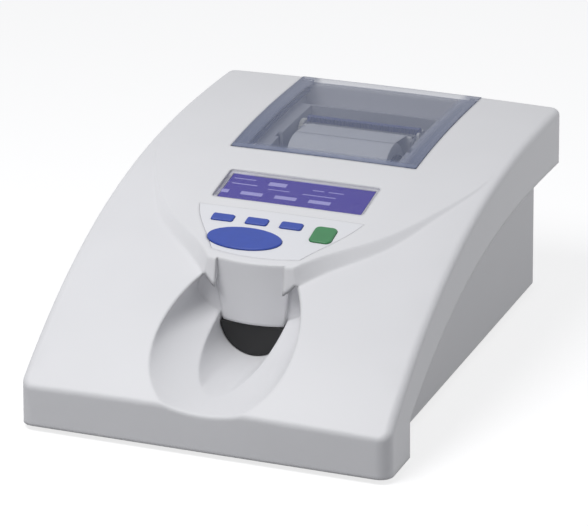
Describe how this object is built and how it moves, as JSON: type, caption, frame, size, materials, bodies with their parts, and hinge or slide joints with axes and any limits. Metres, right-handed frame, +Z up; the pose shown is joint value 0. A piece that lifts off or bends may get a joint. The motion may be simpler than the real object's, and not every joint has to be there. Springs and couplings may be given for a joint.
{
  "type": "urine analyzer",
  "caption": "Desktop urine strip analyzer: wedge housing with a raised console, display, keys, sliding strip tray and a strip printer under a clear lid.",
  "frame": {"origin": "on the table, under the middle of the machine", "axes": "+X to the right seen from the front, +Y towards the back, +Z up; the front faces -Y"},
  "size_m": [0.28, 0.404, 0.1518],
  "materials": {
    "shell_plastic": "fine textured, light warm grey",
    "base_plastic": "fine textured, mid grey",
    "black_plastic": "satin black",
    "dark_grey_plastic": "satin dark grey",
    "bay_grey": "satin mid grey",
    "rubber": "soft black",
    "window_clear": "clear pane with a dark border",
    "lcd_blue": "blue-violet lit display",
    "lcd_light": "pale light guide",
    "steel_plate": "bright plated steel",
    "steel_shaft": "ground steel",
    "board_green": "solder-mask green",
    "chip_black": "moulded chips and connectors",
    "panel_grey": "smooth printed foil, pale grey",
    "key_blue": "blue",
    "key_green": "green",
    "white_plastic": "white",
    "gear_white": "natural acetal",
    "lens_glass": "clear, polished",
    "lid_clear": "clear moulded, slightly blue-grey",
    "paper_white": "thermal paper",
    "card_brown": "wound card",
    "bar_blue": "dark blue",
    "core_iron": "varnished laminations",
    "coil_tape": "amber tape over the coil",
    "contact_brass": "plated"
  },
  "bodies": {
    "housing": {"top_cover": "shell_plastic", "base_housing": "base_plastic", "rubber_feet": "rubber", "case_screws": "steel_plate", "display_window": "window_clear", "lcd_bezel": "black_plastic", "lcd_glass": "lcd_blue", "lcd_backlight": "lcd_light", "lcd_board": "board_green", "keypad_panel": "panel_grey", "key_board": "board_green", "key_switches": "chip_black", "tray_motor": "steel_plate", "motor_bracket": "steel_plate", "tray_tunnel": "black_plastic", "tunnel_screws": "steel_plate", "optical_head": "black_plastic", "head_lens": "lens_glass", "optics_board": "board_green", "paper_bay": "bay_grey", "bay_screws": "steel_plate", "lid_pins": "steel_shaft", "paper_spindle": "dark_grey_plastic", "printer_frame": "steel_plate", "printer_motor": "steel_plate", "thermal_head": "chip_black", "paper_guide": "white_plastic", "paper_web": "paper_white", "tear_bar": "bar_blue", "main_board": "board_green", "board_parts": "chip_black", "board_screws": "steel_plate", "transformer_core": "core_iron", "transformer_coil": "coil_tape", "power_inlet": "black_plastic", "inlet_pins": "contact_brass", "switch_frame": "black_plastic", "serial_port": "steel_plate"},
    "lid": {"printer_lid": "lid_clear"},
    "tray": {"strip_tray": "black_plastic", "strip_holder": "dark_grey_plastic", "white_reference": "white_plastic", "tray_rack": "gear_white"},
    "pinion": {"tray_pinion": "gear_white", "pinion_shaft": "steel_shaft"},
    "roll": {"paper_roll": "paper_white", "roll_core": "card_brown", "roll_hubs": "black_plastic"},
    "platen": {"platen_roller": "rubber", "platen_shaft": "steel_shaft", "platen_gear": "gear_white"},
    "feed_drive": {"feed_gear": "gear_white"},
    "head_lever": {"release_lever": "white_plastic"},
    "rocker": {"power_rocker": "black_plastic"},
    "key_one": {"soft_key_1": "key_blue"},
    "key_two": {"soft_key_2": "key_blue"},
    "key_three": {"soft_key_3": "key_blue"},
    "key_menu": {"menu_key": "key_green"},
    "key_start": {"start_key": "key_blue"}
  },
  "joints": [
    {"name": "lid_hinge", "type": "hinge", "parent": "housing", "child": "lid", "pos_m": [0, 0.195, 0.14787], "axis": [-1, 0, 0], "range_deg": [0, 100]},
    {"name": "tray_slide", "type": "slide", "parent": "housing", "child": "tray", "axis": [0, -1, 0], "range_m": [0, 0.09]},
    {"name": "pinion_turn", "type": "hinge", "parent": "housing", "child": "pinion", "pos_m": [0, -0.074, 0.032], "axis": [1, 0, 0], "range_deg": [0, 516]},
    {"name": "roll_turn", "type": "hinge", "parent": "housing", "child": "roll", "pos_m": [0, 0.088, 0.1203], "axis": [-1, 0, 0], "continuous": true},
    {"name": "platen_turn", "type": "hinge", "parent": "housing", "child": "platen", "pos_m": [0, 0.128, 0.13], "axis": [1, 0, 0], "continuous": true},
    {"name": "feed_turn", "type": "hinge", "parent": "housing", "child": "feed_drive", "pos_m": [0, 0.14047, 0.1228], "axis": [1, 0, 0], "continuous": true},
    {"name": "head_lever_turn", "type": "hinge", "parent": "housing", "child": "head_lever", "pos_m": [0.046, 0.12, 0.132], "axis": [-1, 0, 0], "range_deg": [0, 50]},
    {"name": "power_rocker_turn", "type": "hinge", "parent": "housing", "child": "rocker", "pos_m": [-0.044, 0.19725, 0.038], "axis": [1, 0, 0], "range_deg": [0, 18]},
    {"name": "press_soft_key_1", "type": "slide", "parent": "housing", "child": "key_one", "axis": [0, 0.2526, -0.9676], "range_m": [0, 0.0012], "stiffness_N_per_m": 300, "springref_m": -0.001},
    {"name": "press_soft_key_2", "type": "slide", "parent": "housing", "child": "key_two", "axis": [0, 0.2526, -0.9676], "range_m": [0, 0.0012], "stiffness_N_per_m": 300, "springref_m": -0.001},
    {"name": "press_soft_key_3", "type": "slide", "parent": "housing", "child": "key_three", "axis": [0, 0.2526, -0.9676], "range_m": [0, 0.0012], "stiffness_N_per_m": 300, "springref_m": -0.001},
    {"name": "press_menu_key", "type": "slide", "parent": "housing", "child": "key_menu", "axis": [0, 0.2526, -0.9676], "range_m": [0, 0.0012], "stiffness_N_per_m": 300, "springref_m": -0.001},
    {"name": "press_start_key", "type": "slide", "parent": "housing", "child": "key_start", "axis": [0, 0.2526, -0.9676], "range_m": [0, 0.0012], "stiffness_N_per_m": 300, "springref_m": -0.001}
  ],
  "couplings": [
    {"joint": "pinion_turn", "follows": "tray_slide", "rad_per_m": 100},
    {"joint": "feed_turn", "follows": "platen_turn", "ratio": -2}
  ]
}
